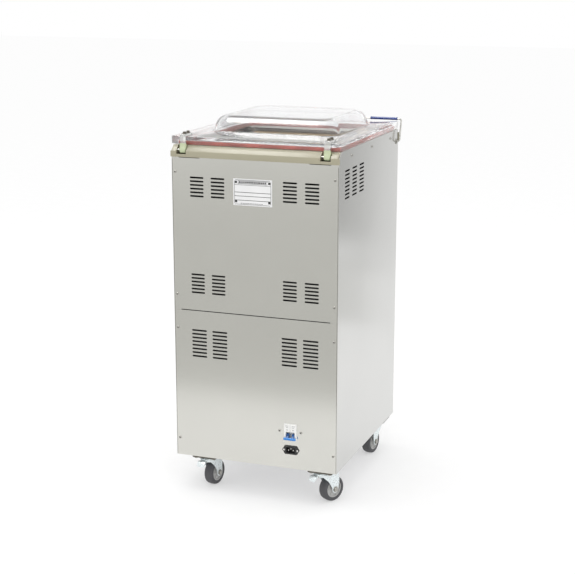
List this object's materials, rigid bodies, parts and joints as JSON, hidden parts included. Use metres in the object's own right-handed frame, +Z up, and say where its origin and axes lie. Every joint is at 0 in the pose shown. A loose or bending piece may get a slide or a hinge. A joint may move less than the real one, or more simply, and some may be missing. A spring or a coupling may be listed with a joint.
{
  "type": "vacuum sealer",
  "caption": "Floor-standing steel vacuum packing machine on braked castors, with a hinged clear domed lid over a sealing chamber.",
  "frame": {"origin": "on the floor under the cabinet's centre", "axes": "+Z up, +Y towards the back with the hinges, -Y towards the front with the controls, +X to the front viewer's right"},
  "size_m": [0.5074, 0.6068, 1.083],
  "materials": {
    "stainless": "fine brushed",
    "frame_steel": "satin",
    "rail": "satin",
    "clear_acrylic": "polished clear",
    "silicone_red": "satin",
    "hinge_alloy": "satin",
    "zinc": "bright zinc",
    "screw_steel": "polished",
    "white_silicone": "matte",
    "seal_alloy": "satin",
    "board_white": "matte",
    "rod_steel": "polished",
    "grip_blue": "gloss",
    "label": "printed plate",
    "breaker_white": "satin",
    "toggle_blue": "gloss",
    "black_plastic": "satin",
    "gauge_face": "gloss",
    "stop_red": "gloss",
    "key_grey": "matte",
    "pump_paint": "painted casting",
    "hose_black": "matte",
    "tyre_grey": "matte",
    "hub_grey": "satin"
  },
  "bodies": {
    "cabinet": {"base_frame": "frame_steel", "side_panel_left": "stainless", "side_panel_right": "stainless", "rear_upper_panel": "stainless", "rear_lower_panel": "stainless", "front_panel": "stainless", "control_panel": "stainless", "hinge_rail": "rail", "front_rail": "rail", "hinge_pins": "screw_steel", "vacuum_chamber": "stainless", "panel_screws": "screw_steel", "rating_plate": "label", "lift_cylinders": "seal_alloy", "lock_bush": "screw_steel", "breaker_body": "breaker_white", "power_inlet": "black_plastic", "vacuum_gauge": "gauge_face", "key_overlay": "black_plastic", "vacuum_pump": "pump_paint", "pump_motor": "pump_paint", "exhaust_filter": "pump_paint", "transformer": "pump_paint", "control_box": "board_white", "vacuum_hose": "hose_black", "castor_plates": "zinc", "castor_bolts": "screw_steel"},
    "lid": {"lid_dome": "clear_acrylic", "lid_gasket": "silicone_red", "hinge_arm_left": "hinge_alloy", "hinge_arm_right": "hinge_alloy", "hinge_bolts": "screw_steel", "press_bars": "white_silicone"},
    "lock_lever": {"lock_rod": "rod_steel", "lock_grip": "grip_blue"},
    "breaker_switch": {"breaker_toggle": "toggle_blue"},
    "gauge_pointer": {"gauge_needle": "black_plastic"},
    "stop_knob": {"stop_button": "stop_red"},
    "left_key": {"key_left": "key_grey"},
    "middle_key": {"key_middle": "key_grey"},
    "right_key": {"key_right": "key_grey"},
    "front_seal_bar": {"seal_bar_front": "seal_alloy"},
    "rear_seal_bar": {"seal_bar_rear": "seal_alloy"},
    "filler_board": {"filler_plate": "board_white"},
    "fork_rear_right": {"castor_fork_rear_right": "zinc"},
    "wheel_rear_right": {"castor_hub_rear_right": "hub_grey", "castor_tyre_rear_right": "tyre_grey"},
    "pedal_rear_right": {"castor_pedal_rear_right": "zinc"},
    "fork_rear_left": {"castor_fork_rear_left": "zinc"},
    "wheel_rear_left": {"castor_hub_rear_left": "hub_grey", "castor_tyre_rear_left": "tyre_grey"},
    "pedal_rear_left": {"castor_pedal_rear_left": "zinc"},
    "fork_front_right": {"castor_fork_front_right": "zinc"},
    "wheel_front_right": {"castor_hub_front_right": "hub_grey", "castor_tyre_front_right": "tyre_grey"},
    "pedal_front_right": {"castor_pedal_front_right": "zinc"},
    "fork_front_left": {"castor_fork_front_left": "zinc"},
    "wheel_front_left": {"castor_hub_front_left": "hub_grey", "castor_tyre_front_left": "tyre_grey"},
    "pedal_front_left": {"castor_pedal_front_left": "zinc"}
  },
  "joints": [
    {"name": "lid_hinge", "type": "hinge", "parent": "cabinet", "child": "lid", "pos_m": [0, 0.284, 1], "axis": [-1, 0, 0], "range_deg": [0, 55]},
    {"name": "lock_lever_swing", "type": "hinge", "parent": "cabinet", "child": "lock_lever", "pos_m": [-0.245, -0.268, 0.976], "axis": [1, 0, 0], "range_deg": [-12, 100]},
    {"name": "breaker_throw", "type": "hinge", "parent": "cabinet", "child": "breaker_switch", "pos_m": [-0.108, 0.286, 0.204], "axis": [1, 0, 0], "range_deg": [0, 70]},
    {"name": "gauge_turn", "type": "hinge", "parent": "cabinet", "child": "gauge_pointer", "pos_m": [-0.15, -0.2885, 0.88], "axis": [0, 1, 0], "range_deg": [0, 270]},
    {"name": "stop_press", "type": "slide", "parent": "cabinet", "child": "stop_knob", "axis": [0, 1, 0], "range_m": [0, 0.004], "stiffness_N_per_m": 500},
    {"name": "left_key_press", "type": "slide", "parent": "cabinet", "child": "left_key", "axis": [0, 1, 0], "range_m": [0, 0.0015], "stiffness_N_per_m": 400},
    {"name": "middle_key_press", "type": "slide", "parent": "cabinet", "child": "middle_key", "axis": [0, 1, 0], "range_m": [0, 0.0015], "stiffness_N_per_m": 400},
    {"name": "right_key_press", "type": "slide", "parent": "cabinet", "child": "right_key", "axis": [0, 1, 0], "range_m": [0, 0.0015], "stiffness_N_per_m": 400},
    {"name": "front_bar_lift", "type": "slide", "parent": "cabinet", "child": "front_seal_bar", "axis": [0, 0, 1], "range_m": [0, 0.011]},
    {"name": "rear_bar_lift", "type": "slide", "parent": "cabinet", "child": "rear_seal_bar", "axis": [0, 0, 1], "range_m": [0, 0.011]},
    {"name": "filler_board_lift", "type": "slide", "parent": "cabinet", "child": "filler_board", "axis": [0, 0, 1], "range_m": [0, 0.06]},
    {"name": "swivel_rear_right", "type": "hinge", "parent": "cabinet", "child": "fork_rear_right", "pos_m": [-0.194, 0.25, 0.094], "axis": [0, 0, 1], "continuous": true},
    {"name": "roll_rear_right", "type": "hinge", "parent": "fork_rear_right", "child": "wheel_rear_right", "pos_m": [-0.209, 0.22402, 0.0375], "axis": [0.866, -0.5, 0], "continuous": true},
    {"name": "brake_rear_right", "type": "hinge", "parent": "fork_rear_right", "child": "pedal_rear_right", "pos_m": [-0.1805, 0.27338, 0.086], "axis": [-0.866, 0.5, 0], "range_deg": [0, 15]},
    {"name": "swivel_rear_left", "type": "hinge", "parent": "cabinet", "child": "fork_rear_left", "pos_m": [0.162, 0.25, 0.094], "axis": [0, 0, 1], "continuous": true},
    {"name": "roll_rear_left", "type": "hinge", "parent": "fork_rear_left", "child": "wheel_rear_left", "pos_m": [0.15679, 0.22046, 0.0375], "axis": [0.9848, -0.1736, 0], "continuous": true},
    {"name": "brake_rear_left", "type": "hinge", "parent": "fork_rear_left", "child": "pedal_rear_left", "pos_m": [0.16669, 0.27659, 0.086], "axis": [-0.9848, 0.1736, 0], "range_deg": [0, 15]},
    {"name": "swivel_front_right", "type": "hinge", "parent": "cabinet", "child": "fork_front_right", "pos_m": [-0.206, -0.222, 0.094], "axis": [0, 0, 1], "continuous": true},
    {"name": "roll_front_right", "type": "hinge", "parent": "fork_front_right", "child": "wheel_front_right", "pos_m": [-0.20079, -0.19246, 0.0375], "axis": [-0.9848, 0.1736, 0], "continuous": true},
    {"name": "brake_front_right", "type": "hinge", "parent": "fork_front_right", "child": "pedal_front_right", "pos_m": [-0.21069, -0.24859, 0.086], "axis": [0.9848, -0.1736, 0], "range_deg": [0, 15]},
    {"name": "swivel_front_left", "type": "hinge", "parent": "cabinet", "child": "fork_front_left", "pos_m": [0.174, -0.222, 0.094], "axis": [0, 0, 1], "continuous": true},
    {"name": "roll_front_left", "type": "hinge", "parent": "fork_front_left", "child": "wheel_front_left", "pos_m": [0.17139, -0.19211, 0.0375], "axis": [-0.9962, -0.0872, 0], "continuous": true},
    {"name": "brake_front_left", "type": "hinge", "parent": "fork_front_left", "child": "pedal_front_left", "pos_m": [0.17635, -0.2489, 0.086], "axis": [0.9962, 0.0872, 0], "range_deg": [0, 15]}
  ],
  "couplings": [
    {"joint": "rear_bar_lift", "follows": "front_bar_lift", "ratio": 1}
  ]
}
